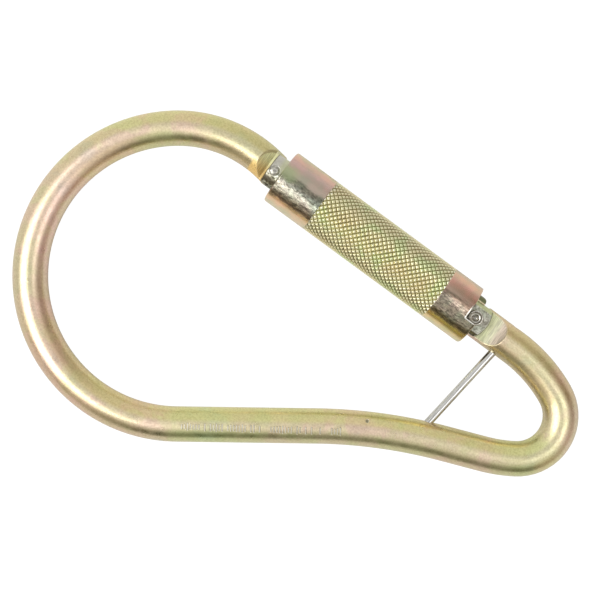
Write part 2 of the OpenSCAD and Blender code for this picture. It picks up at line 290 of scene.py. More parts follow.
class Bench:
    """A node tree, with short calls for adding and joining nodes."""

    def __init__(self, name: str, shelf: Any = None) -> None:
        """Starts an empty material of that name, or an empty world if the shelf holds worlds."""
        self.owner = (bpy.data.materials if shelf is None else shelf).new(name)
        self.owner.use_nodes = True
        self.tree = self.owner.node_tree
        self.tree.nodes.clear()

    def feed(self, socket: Any, value: Any) -> None:
        """Links a socket to another one, or sets its own value."""
        if isinstance(value, bpy.types.NodeSocket):
            self.tree.links.new(value, socket)
        else:
            socket.default_value = value

    def node(self, kind: str, inputs: dict[Any, Any] | None = None, **settings: Any) -> Any:
        """Adds a node, sets it and feeds its inputs by name or number."""
        made = self.tree.nodes.new(kind)
        for key, value in settings.items():
            setattr(made, key, value)
        for key, value in (inputs or {}).items():
            self.feed(made.inputs[key], value)
        return made

    def space(self, place: Matrix = PLACE) -> Any:
        """Object coordinates turned into a frame's own millimetres."""
        where = self.node("ShaderNodeTexCoord").outputs["Object"]
        move, turn, scale = place.inverted().decompose()
        steps = {"Vector": where, "Location": move, "Rotation": turn.to_euler(), "Scale": scale}
        return self.node("ShaderNodeMapping", steps).outputs[0]

    def split(self, vector: Any) -> tuple[Any, Any, Any]:
        """A vector's three parts."""
        parts = self.node("ShaderNodeSeparateXYZ", {0: vector}).outputs
        return parts[0], parts[1], parts[2]

    def join(self, x: Any, y: Any, z: Any) -> Any:
        """A vector from three parts."""
        return self.node("ShaderNodeCombineXYZ", {0: x, 1: y, 2: z}).outputs[0]

    def calc(self, how: str, a: Any, b: Any = 0.0, c: Any = 0.0) -> Any:
        """One Math node."""
        return self.node("ShaderNodeMath", {0: a, 1: b, 2: c}, operation=how).outputs[0]

    def times(self, *factors: Any) -> Any:
        """The product of its factors."""
        product = factors[0]
        for factor in factors[1:]:
            product = self.calc("MULTIPLY", product, factor)
        return product

    def scaled(self, value: Any, by: Any, plus: Any) -> Any:
        """A value scaled, then shifted."""
        return self.calc("MULTIPLY_ADD", value, by, plus)

    def vector(self, how: str, a: Any, b: Any = (0.0, 0.0, 0.0)) -> Any:
        """One Vector Math node, whose two results stand under their names."""
        return self.node("ShaderNodeVectorMath", {0: a, 1: b}, operation=how).outputs

    def length(self, vector: Any) -> Any:
        """A vector's length."""
        return self.vector("LENGTH", vector)["Value"]

    def from_axis(self, v: Any, z: Any) -> Any:
        """The distance from the gate's axis."""
        return self.length(self.join(0.0, v, z))

    def from_upright(self, u: Any, v: Any, centre: Point) -> Any:
        """The distance from a standing line through the centre."""
        out = self.join(self.calc("SUBTRACT", u, centre[0]), self.calc("SUBTRACT", v, centre[1]), 0.0)
        return self.length(out)

    def remap(self, value: Any, low: float, high: float, to_low: float = 0, to_high: float = 1) -> Any:
        """A value eased from one range to another."""
        return self.node(
            "ShaderNodeMapRange",
            {"Value": value, "From Min": low, "From Max": high, "To Min": to_low, "To Max": to_high},
            interpolation_type="SMOOTHSTEP",
        ).outputs["Result"]

    def window(self, value: Any, start: float, end: float, soft: float) -> Any:
        """One between start and end, easing to zero over soft on both sides."""
        rise = self.remap(value, start - soft, start + soft)
        return self.times(rise, self.remap(value, end + soft, end - soft))

    def stretched(self, vector: Any, by: Sequence[float]) -> Any:
        """A vector scaled along each of its three directions."""
        return self.vector("MULTIPLY", vector, tuple(by))["Vector"]

    def noise(
        self, vector: Any, size: float, detail: float = 3, rough: float = 0.5, warp: float = 0
    ) -> Any:
        """Noise whose patches are about size millimetres across."""
        inputs = {"Vector": vector, "Scale": 1 / size, "Detail": detail, "Roughness": rough}
        return self.node("ShaderNodeTexNoise", {**inputs, "Distortion": warp}).outputs["Fac"]

    def ramp(self, value: Any, stops: Sequence[tuple[float, Colour]]) -> Any:
        """A colour ramp through the given stops."""
        made = self.node("ShaderNodeValToRGB", {0: value})
        made.color_ramp.interpolation = "EASE"
        elements = made.color_ramp.elements
        while len(elements) < len(stops):
            elements.new(0.5)
        for element, (place, colour) in zip(elements, stops):
            element.position = place
            element.color = (*colour, 1)
        return made.outputs[0]

    def mix(self, share: Any, a: Any, b: Any, how: str = "MIX") -> Any:
        """A blend of two colours."""
        made = self.node("ShaderNodeMix", data_type="RGBA", blend_type=how)
        for index, value in ((0, share), (6, a), (7, b)):
            fixed = isinstance(value, tuple) and len(value) == 3
            self.feed(made.inputs[index], (*value, 1) if fixed else value)
        return made.outputs[2]

    def coat(self, base: Any, colour: Any, mask: Any, share: float = 1.0) -> Any:
        """A base colour covered by another where the mask is one, up to the share."""
        return self.mix(mask if share == 1.0 else self.times(mask, share), base, colour)

    def shaded(self, base: Any, shade: Any, share: Any = 1.0) -> Any:
        """A base colour multiplied by another, up to the share."""
        return self.mix(share, base, shade, "MULTIPLY")

    def bump(self, height: Any, depth: float, normal: Any) -> Any:
        """Relief of the given depth, in millimetres, on top of a normal."""
        inputs = {"Strength": 1.0, "Distance": depth * MM, "Height": height, "Normal": normal}
        return self.node("ShaderNodeBump", inputs).outputs[0]

    def soft_edges(self, radius: float) -> Any:
        """A normal that rounds sharp edges to a radius in millimetres."""
        return self.node("ShaderNodeBevel", {"Radius": radius * MM}, samples=8).outputs[0]

    def wear(self, rounded: Any, low: float = 0.02, high: float = 0.16) -> Any:
        """How far a rounded normal leans from the true one: one along worn edges, zero elsewhere."""
        true = self.node("ShaderNodeNewGeometry").outputs["Normal"]
        lean = self.vector("DOT_PRODUCT", rounded, true)["Value"]
        return self.remap(lean, 1 - low, 1 - high)

    def metal(
        self, colour: Any, roughness: Any, normal: Any, coat: float = 0.0, share: Any = 1.0
    ) -> Material:
        """Ends the tree in a metal surface and returns the material."""
        look = {"Base Color": colour, "Metallic": share, "Roughness": roughness, "Normal": normal}
        gloss = {"Coat Weight": coat, "Coat Roughness": 0.25}
        surface = self.node("ShaderNodeBsdfPrincipled", {**look, **gloss})
        self.node("ShaderNodeOutputMaterial", {"Surface": surface.outputs[0]})
        return self.owner


@dataclass(frozen=True)
class TickRow:
    """A row of plain punched ticks along the spine, in the gate's frame."""

    centre: Point = (39.05, 78.85)
    heading: float = 34.4
    length: float = 59.0
    pitch: float = 1.05
    width: float = 0.36
    height: float = 3.0


@dataclass(frozen=True)
class YellowZinc:
    """Satin yellow zinc with soft gold, pink and green tints on the bar."""

    gold: Colour = (0.80, 0.68, 0.42)
    olive: Colour = (0.74, 0.69, 0.38)
    green: Colour = (0.64, 0.69, 0.43)
    pink: Colour = (0.86, 0.63, 0.48)
    mauve: Colour = (0.70, 0.56, 0.48)
    bare: Colour = (0.90, 0.87, 0.74)
    speck: Colour = (0.46, 0.40, 0.27)
    fleck: Colour = (0.96, 0.90, 0.70)
    # Painted shadow for each tick's dent, then a painted highlight along each tick.
    dent_shadow: Colour = (0.26, 0.23, 0.13)
    tick_highlight: Colour = (0.98, 0.95, 0.82)
    milled_out: Colour = (1.0, 1.0, 0.60)
    milled_in: Colour = (1.0, 0.68, 0.24)
    milled_hinge: Colour = (0.72, 0.73, 0.55)
    milled_end: Colour = (0.78, 0.66, 0.58)
    # A dark colour that is painted shadow: over the heel lug, in the gap at the ear's end and in the
    # punch's pit.
    painted_shadow: Colour = (0.16, 0.17, 0.08)
    ear_centre: Point = (EAR_END_R - EAR_REACH, 0.0)
    ear_line: Point = (EAR_END_R + 0.05, EAR_END_R + 0.5)
    skin_r: float = 6.35
    lean: Point = (0.12, 0.42)
    hinge_run: Point = (-13.0, 9.0)
    nose_run: Point = (86.0, 99.5)
    lug_run: Point = (-1.0, 5.0)
    lug_side: Point = (-10.0, -6.3)
    # Painted reflection and shade by facing: a colour factor for each bearing that the bar's side
    # faces.
    facing_light_tints: tuple[tuple[float, Colour], ...] = (
        (-180, (0.98, 0.98, 0.95)),
        (-158, (0.94, 0.88, 0.93)),
        (-128, (0.90, 0.84, 0.79)),
        (-98, (0.94, 0.85, 0.86)),
        (-68, (0.88, 0.98, 0.83)),
        (-38, (1.00, 0.98, 0.86)),
        (-8, (1.04, 0.98, 1.06)),
        (22, (0.98, 0.90, 1.00)),
        (52, (0.94, 0.87, 0.80)),
        (82, (1.00, 0.97, 0.76)),
        (112, (1.04, 1.10, 0.84)),
        (142, (1.03, 1.12, 0.88)),
        (172, (1.00, 1.03, 0.96)),
        (180, (0.98, 0.98, 0.95)),
    )
    ticks: TickRow = field(default_factory=TickRow)

    def painted_tick_light(self, bench: Bench) -> tuple[Any, Any]:
        """Finds the punched ticks, with their painted highlight and painted shadow.

        Args:
            bench: the material's bench.

        Returns:
            Where a tick's painted highlight line is, and where the painted shadow in its dent is, each
            from 0 to 1.
        """
        row = self.ticks
        turn = Matrix.Rotation(math.radians(row.heading), 4, "Z")
        place = Matrix.Translation((*row.centre, 0)) @ turn
        s, t, z = bench.split(bench.space(PLACE @ place))
        cells = bench.calc("DIVIDE", s, row.pitch)
        chance = bench.node(
            "ShaderNodeTexWhiteNoise", {"W": bench.calc("FLOOR", cells)}, noise_dimensions="1D"
        ).outputs["Value"]
        across = bench.calc("SUBTRACT", bench.calc("FRACT", cells), 0.5)
        reach = bench.scaled(chance, row.height * 0.3, row.height * 0.22)
        tall = bench.remap(bench.calc("SUBTRACT", bench.calc("ABSOLUTE", t), reach), 0.12, -0.12)
        here = bench.calc("LESS_THAN", bench.calc("ABSOLUTE", s), row.length / 2)
        kept = bench.times(bench.calc("GREATER_THAN", chance, 0.24), bench.calc("GREATER_THAN", z, 0))
        field_of = bench.times(tall, bench.times(here, kept))
        half = row.width / row.pitch / 2
        line = bench.window(across, -half, half, half * 0.5)
        dent_shadow = bench.window(bench.calc("ADD", across, half * 1.3), -half, half * 2.2, half * 0.6)
        return bench.times(field_of, line), bench.times(field_of, dent_shadow)

    def painted_facing_light(self, bench: Bench) -> Any:
        """Painted reflection and shade: a faint tint, lighter or darker, that turns with the way the
        bar's side faces.
        """
        facing = bench.node("ShaderNodeTexCoord").outputs["Normal"]
        x, y, _ = bench.split(facing)
        turn = bench.scaled(bench.calc("ARCTAN2", y, x), 0.5 / math.pi, 0.5)
        tint = bench.ramp(turn, [((bearing + 180) / 360, colour) for bearing, colour in self.facing_light_tints])
        lean = bench.calc("SQRT", bench.scaled(x, x, bench.times(y, y)))
        return bench.mix(bench.remap(lean, *self.lean), (1.0, 1.0, 1.0), tint)

    def milled(self, bench: Bench, at: Any) -> tuple[Any, Any]:
        """Finds the milled faces at both ends of the bar.

        Args:
            bench: the material's bench.
            at: the place in the gate's frame.

        Returns:
            How far a point is on a milled face, and that face's colour.
        """
        u, v, z = bench.split(at)
        inside = bench.remap(bench.from_axis(v, z), self.skin_r, self.skin_r - 0.25)
        runs = [bench.window(u, *run, 0.5) for run in (self.hinge_run, self.nose_run)]
        near = bench.calc("ADD", *runs)
        nose = bench.mix(bench.remap(v, -3.0, 3.5), self.milled_out, self.milled_in)
        stops = [(0.1, self.milled_end), (0.45, self.milled_hinge), (0.9, self.green)]
        hinge = bench.ramp(bench.remap(u, -12.5, -4.5), stops)
        return bench.times(inside, near), bench.mix(bench.remap(u, 40, 60), hinge, nose)

    def material(self) -> Material:
        """Builds the bar's material."""
        bench = Bench("yellow_zinc")
        at = bench.space()
        broad = bench.noise(at, 30, 2, 0.5, 0.6)
        patch = bench.noise(at, 9, 4, 0.55, 0.4)
        hues = (self.mauve, self.pink, self.gold, self.olive, self.green)
        blotch = bench.scaled(patch, 0.45, bench.times(broad, 0.6))
        tint = bench.ramp(blotch, list(zip((0.32, 0.44, 0.52, 0.62, 0.74), hues)))
        speck = bench.ramp(bench.noise(at, 0.7, 3, 0.6), [(0.3, self.speck), (0.7, self.fleck)])
        tint = bench.mix(0.3, tint, speck)
        milled, pale = self.milled(bench, at)
        # Painted reflection and shade: the colour is tinted, lighter or darker, by the way each side
        # faces.
        tint = bench.shaded(tint, self.painted_facing_light(bench))
        tint = bench.coat(tint, pale, milled, 0.85)
        u, v, z = bench.split(at)
        # Painted shadow in the gap just past the ear's rounded end, on the milled face.
        beyond = bench.from_upright(u, v, self.ear_centre)
        ear_gap_shadow = bench.times(bench.window(beyond, *self.ear_line, 0.12), milled)
        tint = bench.coat(tint, self.painted_shadow, ear_gap_shadow, 0.75)
        # Painted shadow over the heel lug, which the sleeve shades.
        painted_shadow = bench.times(bench.window(u, *self.lug_run, 0.2), bench.window(v, *self.lug_side, 0.2))
        tint = bench.coat(tint, self.painted_shadow, painted_shadow)
        # Painted shade in the punch's pit.
        near = bench.from_upright(u, v, PUNCH)
        punch_shadow = bench.times(bench.remap(near, 0.75, 0.5), bench.calc("GREATER_THAN", z, 0))
        tint = bench.coat(tint, self.painted_shadow, punch_shadow, 0.8)
        # Each tick gets painted shadow in its dent and a painted highlight along its line.
        painted_tick_light, shade = self.painted_tick_light(bench)
        tint = bench.coat(tint, self.dent_shadow, shade, 0.75)
        tint = bench.coat(tint, self.tick_highlight, painted_tick_light, 0.8)
        rounded = bench.soft_edges(0.35)
        tint = bench.coat(tint, self.bare, bench.wear(rounded), 0.6)
        rough = bench.remap(bench.noise(at, 3.5, 4), 0.3, 0.7, 0.27, 0.38)
        rough = bench.scaled(milled, 0.16, rough)
        cutter = bench.noise(bench.stretched(at, (1.0, 0.08, 1.0)), 0.35, 3, 0.6)
        lines = bench.ramp(cutter, [(0.3, (0.72, 0.72, 0.68)), (0.7, (1.15, 1.15, 1.12))])
        tint = bench.shaded(tint, lines, milled)
        relief = bench.bump(bench.noise(at, 0.9, 4, 0.6), 0.02, rounded)
        relief = bench.bump(bench.times(shade, -1), 0.15, relief)
        return bench.metal(tint, rough, relief, 0.3, bench.scaled(milled, -0.55, 1.0))


@dataclass(frozen=True)
class SleeveZinc:
    """Bright zinc on the sleeve's plain ends, going round the sleeve from amber to a mottled dark
    silver of painted reflection.

    Each end has its colours by the turn round the sleeve, in degrees: zero on top and
    positive towards the loop. The dark stops round the top are painted reflection of
    the dark surroundings.
    """

    back: Colour = (0.80, 0.62, 0.36)
    # Colours by turn; the dark ones round the top are painted reflection.
    nose_end_tints_and_reflection: tuple[tuple[float, Colour], ...] = (
        (-72, (0.80, 0.66, 0.42)),
        (-54, (0.78, 0.54, 0.44)),
        (-36, (0.70, 0.52, 0.49)),
        (-14, (0.56, 0.49, 0.42)),
        (-4, (0.24, 0.23, 0.18)),
        (8, (0.38, 0.38, 0.33)),
        (19, (0.34, 0.33, 0.28)),
        (29, (0.40, 0.36, 0.30)),
        (40, (0.23, 0.16, 0.11)),
        (53, (0.92, 0.67, 0.46)),
        (72, (0.80, 0.70, 0.52)),
    )
    hinge_end_tints_and_reflection: tuple[tuple[float, Colour], ...] = (
        (-72, (0.80, 0.64, 0.46)),
        (-54, (0.86, 0.57, 0.42)),
        (-34, (0.84, 0.52, 0.46)),
        (-17, (0.62, 0.42, 0.36)),
        (-8, (0.30, 0.22, 0.17)),
        (3, (0.48, 0.41, 0.34)),
        (18, (0.30, 0.27, 0.21)),
        (29, (0.50, 0.44, 0.38)),
        (40, (0.27, 0.20, 0.12)),
        (50, (0.52, 0.40, 0.17)),
        (60, (0.90, 0.74, 0.40)),
        (72, (0.84, 0.73, 0.48)),
    )
    middle: float = 44.0
    sweep: float = 240.0
    # The turns where the painted dark reflection is mottled.
    dark_reflection_turns: Point = (-8.0, 46.0)
    tail: Colour = (0.48, 0.56, 0.30)
    tail_run: Point = (82.5, 92.0)
    tail_turn: Point = (-26.0, 2.0)
    bare: Colour = (0.97, 0.96, 0.90)

    def stops(self, colours: Sequence[tuple[float, Colour]]) -> list[tuple[float, Colour]]:
        """One end's colours as places from 0 to 1, meeting at the back."""
        inner = [(turn / self.sweep + 0.5, colour) for turn, colour in colours]
        return [(0.0, self.back), *inner, (1.0, self.back)]

    def cut_edge_wear_and_highlight(self, bench: Bench, u: Any, v: Any, z: Any) -> Any:
        """The bevelled rim of the cut-back at the hinge end, painted bright as worn bare metal and as
        a painted highlight.
        """
        floor, side = CUT_BACK
        along = bench.times(
            bench.window(u, floor, floor + 0.45, 0.05),
            bench.remap(v, side + 0.4, side + 0.2),
            bench.remap(v, -4.0, -1.0),
        )
        down = bench.times(
            bench.window(v, side, side + 0.45, 0.05), bench.remap(u, floor + 0.4, floor + 0.2)
        )
        near = bench.remap(bench.from_axis(v, z), SLEEVE_R - 0.7, SLEEVE_R - 0.5)
        return bench.times(bench.calc("MAXIMUM", along, down), near)

    def material(self) -> Material:
        """Builds the plain ends' material."""
        bench = Bench("sleeve_zinc")
        at = bench.space()
        u, v, z = bench.split(at)
        around = bench.times(bench.calc("ARCTAN2", v, z), math.degrees(1))
        long_grain = bench.stretched(at, (0.3, 1.0, 1.0))
        drift = bench.scaled(bench.noise(long_grain, 1.6, 3, 0.55), 16.0, -8.0)
        turned = bench.calc("ADD", around, drift)
        place = bench.scaled(turned, 1 / self.sweep, 0.5)
        ends = [bench.ramp(place, self.stops(side)) for side in (self.hinge_end_tints_and_reflection, self.nose_end_tints_and_reflection)]
        tint = bench.mix(bench.calc("GREATER_THAN", u, self.middle), *ends)
        # A mottled band of painted dark reflection round the top of each plain end.
        band = bench.window(turned, *self.dark_reflection_turns, 5.0)
        mottle = bench.noise(bench.stretched(at, (0.45, 1.0, 1.0)), 0.75, 4, 0.6, 0.5)
        stops = [(0.36, (0.42, 0.40, 0.36)), (0.5, (0.95, 0.95, 0.95)), (0.64, (1.5, 1.5, 1.46))]
        grain = bench.ramp(mottle, stops)
        tint = bench.shaded(tint, grain, band)
        stops = [(0.35, (0.86, 0.95, 0.86)), (0.65, (1.08, 0.98, 0.95))]
        cloud = bench.ramp(bench.noise(at, 4.5, 3), stops)
        tint = bench.shaded(tint, cloud, 0.8)
        along, about = bench.window(u, *self.tail_run, 2.5), bench.window(turned, *self.tail_turn, 7.0)
        tint = bench.coat(tint, self.tail, bench.times(along, about), 0.65)
        rounded = bench.soft_edges(0.3)
        worn = bench.times(bench.wear(rounded), 0.4)
        # Worn edges, and the cut-back's rim painted bright as wear and painted highlight.
        edge = bench.calc("MAXIMUM", worn, self.cut_edge_wear_and_highlight(bench, u, v, z))
        tint = bench.coat(tint, self.bare, edge, 0.85)
        rough = bench.scaled(bench.noise(at, 1.2, 3), 0.12, 0.18)
        relief = bench.bump(bench.noise(at, 1.6, 3), 0.02, rounded)
        relief = bench.bump(bench.times(mottle, band), 0.04, relief)
        return bench.metal(tint, rough, relief, 0.2)


@dataclass(frozen=True)
class KnurlZinc:
    """Yellow zinc on the knurl: pale tips, dark olive roots that are painted shade, and painted glints
    on the teeth near both ends.
    """

    # The roots' dark colour is painted shade in the knurl's valleys.
    root_shade: Colour = (0.21, 0.19, 0.08)
    flank: Colour = (0.81, 0.775, 0.50)
    tip: Colour = (0.90, 0.87, 0.64)
    # The colour of the painted glints on the teeth near the band's ends.
    rim: Colour = (1.0, 0.98, 0.86)

    def material(self) -> Material:
        """Builds the knurl's material."""
        bench = Bench("knurl_zinc")
        at = bench.space()
        u, v, z = bench.split(at)
        worn = bench.scaled(bench.noise(at, 0.5, 3), 0.3, -0.15)
        # Darker towards the roots: painted shade in the valleys.
        level = bench.calc("ADD", bench.remap(bench.from_axis(v, z), KNURL_ROOT_R, SLEEVE_R), worn)
        tint = bench.ramp(level, [(0.0, self.root_shade), (0.3, self.flank), (0.9, self.tip)])
        stops = [(0.35, (0.86, 1.0, 0.80)), (0.5, (1.0, 0.99, 0.9)), (0.65, (1.0, 0.93, 0.84))]
        shade = bench.ramp(bench.noise(at, 7, 3), stops)
        tint = bench.shaded(tint, shade, 0.8)
        # Painted glints: the tips of the teeth near both ends of the band are painted bright.
        clear = bench.window(u, KNURL[0] + 1.0, KNURL[1] - 1.0, 0.3)
        end_tip_glints = bench.times(bench.calc("SUBTRACT", 1.0, clear), bench.remap(level, 0.35, 0.8))
        tint = bench.coat(tint, self.rim, end_tip_glints, 0.6)
        rough = bench.scaled(bench.noise(at, 0.8, 2), 0.16, 0.26)
        relief = bench.bump(bench.noise(at, 0.25, 3), 0.01, bench.soft_edges(0.08))
        return bench.metal(tint, rough, relief)


@dataclass(frozen=True)
class GreyZinc:
    """Softly mottled grey steel of the gate arm, with painted shadow along the inner side of its nose
    and in the gaps by the sleeve and the bar, and a painted sheen and highlight on the nose.
    """

    dark: Colour = (0.22, 0.21, 0.17)
    mid: Colour = (0.42, 0.41, 0.35)
    light: Colour = (0.66, 0.66, 0.58)
    sheen: Colour = (0.74, 0.72, 0.66)
    ledge: Colour = (0.66, 0.70, 0.38)
    bright: Colour = (0.92, 0.92, 0.86)
    # Painted shadow for the gap at the gate's end.
    end_gap_shadow: Colour = (0.16, 0.14, 0.08)
    # Painted shadow for the corners by the sleeve and the ear's inner side.
    gap_shadow: Colour = (0.10, 0.09, 0.06)
    shadow: Colour = (0.16, 0.14, 0.10)

    def material(self) -> Material:
        """Builds the gate arm's material."""
        bench = Bench("grey_zinc")
        at = bench.space()
        u, v, _ = bench.split(at)
        mottle = bench.noise(at, 0.9, 4, 0.55, 0.5)
        tint = bench.ramp(mottle, [(0.34, self.dark), (0.5, self.mid), (0.64, self.light)])
        stops = [(0.35, (0.92, 1.0, 0.88)), (0.6, (1.0, 0.97, 0.92)), (0.8, (1.0, 0.92, 0.88))]
        wash = bench.ramp(bench.noise(at, 4, 2), stops)
        tint = bench.shaded(tint, wash, 0.6)
        nose = bench.remap(u, 86.0, 87.5)
        # Painted sheen: the outer half of the nose is painted lighter.
        smooth = bench.times(nose, bench.remap(v, 0.3, -0.8))
        tint = bench.coat(tint, self.sheen, smooth, 0.75)
        rough_side = bench.times(nose, bench.remap(v, 0.0, 1.0))
        stops = [(0.42, (0.20, 0.19, 0.15)), (0.60, (1.15, 1.15, 1.08))]
        flecks = bench.ramp(bench.noise(at, 0.75, 4, 0.65, 0.8), stops)
        tint = bench.shaded(tint, flecks, rough_side)
        # Painted shadow in the gap at the gate's end.
        tip = bench.remap(u, 92.5, 92.8)
        tint = bench.coat(tint, self.end_gap_shadow, tip, 0.6)
        green = bench.times(smooth, bench.remap(u, 91.0, 89.0))
        tint = bench.coat(tint, self.ledge, green, 0.5)
        # Painted shadow in the corner under the sleeve's cut-back and on the ear's inner side.
        ear = bench.remap(u, 4.6, 3.6)
        corner = bench.calc("MAXIMUM", bench.remap(u, 2.5, 3.1), bench.window(v, 1.7, 3.1, 0.25))
        corner = bench.times(corner, bench.window(u, 0.4, 4.0, 0.4))
        side = bench.times(ear, bench.remap(v, 4.2, 4.6))
        gap_shadow = bench.calc("MAXIMUM", bench.times(corner, 0.75), bench.times(side, 0.8))
        tint = bench.coat(tint, self.gap_shadow, gap_shadow)
        shadow = bench.times(nose, bench.window(v, 2.9, 4.9, 0.5))
        tint = bench.coat(tint, self.shadow, shadow, 0.8)
        # A painted highlight along the nose.
        nose_highlight = bench.times(nose, bench.window(v, 0.9, 2.0, 0.4))
        tint = bench.coat(tint, self.bright, nose_highlight, 0.25)
        outer = bench.times(ear, bench.remap(v, -3.9, -4.6))
        tint = bench.coat(tint, self.ledge, outer, 0.8)
        rounded = bench.soft_edges(0.25)
        tint = bench.coat(tint, self.bright, bench.wear(rounded), 0.8)
        rough = bench.scaled(bench.noise(at, 1.1, 3), 0.14, 0.24)
        return bench.metal(tint, rough, bench.bump(mottle, 0.02, rounded))


@dataclass(frozen=True)
class RivetSteel:
    """Dark peened steel with rings of colour round a standing axis; on the rivet they are painted
    highlight and painted shade.
    """

    name: str
    centre: Point
    rings: tuple[tuple[float, Colour], ...]
    reach: float = 4.0
    bare: Colour = (0.93, 0.93, 0.88)

    def material(self) -> Material:
        """Builds the material."""
        bench = Bench(self.name)
        at = bench.space()
        u, v, _ = bench.split(at)
        radius = bench.from_upright(u, v, self.centre)
        mottle = bench.noise(at, 0.8, 4, 0.6, 0.6)
        wobble = bench.scaled(mottle, 0.5, bench.calc("SUBTRACT", radius, 0.25))
        rings = [(r / self.reach, colour) for r, colour in self.rings]
        tint = bench.ramp(bench.calc("DIVIDE", wobble, self.reach), rings)
        grain = bench.ramp(mottle, [(0.36, (0.6, 0.59, 0.56)), (0.64, (1.3, 1.3, 1.26))])
        tint = bench.shaded(tint, grain, 0.8)
        rounded = bench.soft_edges(0.18)
        tint = bench.coat(tint, self.bare, bench.wear(rounded), 0.8)
        rough = bench.scaled(bench.noise(at, 0.9, 3), 0.14, 0.16)
        return bench.metal(tint, rough, bench.bump(mottle, 0.04, rounded))


# On the rivet, the pale rings are painted highlights on the dimple's rim and the head's edge, and the
# dark rings are painted shade.
DULL, SOFT, RING_HIGHLIGHT, RING_SHADE = (0.46, 0.45, 0.41), (0.60, 0.59, 0.54), (0.92, 0.92, 0.88), (0.22, 0.20, 0.16)
RIVET_HIGHLIGHT_AND_SHADE_RINGS = (
    *((0.3, DULL), (0.8, RING_SHADE), (1.2, RING_SHADE), (1.5, RING_HIGHLIGHT)),
    *((1.8, RING_SHADE), (2.3, RING_SHADE), (2.6, RING_HIGHLIGHT), (3.0, RING_SHADE)),
)
LATCH_RINGS = ((0.0, DULL), (0.9, SOFT), (1.3, DULL), (1.9, SOFT))


@dataclass(frozen=True)
class DrawnSteel:
    """Plain steel with fine lines along one direction of the gate's frame."""

    name: str
    pale: Colour
    dull: Colour
    gloss: float = 0.14
    stretch: tuple[float, float, float] = (1.0, 0.02, 1.0)

    def material(self) -> Material:
        """Builds the material."""
        bench = Bench(self.name)
        at = bench.space()
        u, v, z = bench.split(at)
        drawn = bench.join(*(bench.times(part, by) for part, by in zip((u, v, z), self.stretch)))
        line = bench.noise(drawn, 0.3, 4, 0.6)
        tint = bench.ramp(line, [(0.35, self.dull), (0.6, self.pale)])
        rough = bench.scaled(bench.noise(at, 1.5, 3), 0.1, self.gloss)
        return bench.metal(tint, rough, bench.bump(line, 0.008, bench.soft_edges(0.15)))


# ---------------------------------------------------------------- bar


@dataclass(frozen=True)
class Leg:
    """One leg of the bar's centreline: a straight run, or a bend that turns into the loop."""

    length: float = 0.0
    radius: float = 0.0
    turn: float = 0.0


@dataclass(frozen=True)
class Tongue:
    """The flat end of the bar inside the gate's fork."""

    half: float = 3.0
    run: float = 6.2
    cove: float = 8.0
    cove_depth: float = 5.5
    flare: float = 7.4
    neck: float = 6.5
    cam_r: float = 5.4
    cam_offset: float = 0.9
    heel_back: float = -0.3
    heel_front: float = 3.6
    heel_r: float = 8.3
    heel_corner: float = 2.0


@dataclass(frozen=True)
class Hook:
    """The nose end of the bar that holds the latch pin."""

    half: float = 2.5
    tip: float = 88.5
    ramp_foot: float = 94.1
    ramp_rise: float = 18.0
    notch_r: float = 1.2
    lip: float = 2.6
    chamfer: float = 1.6


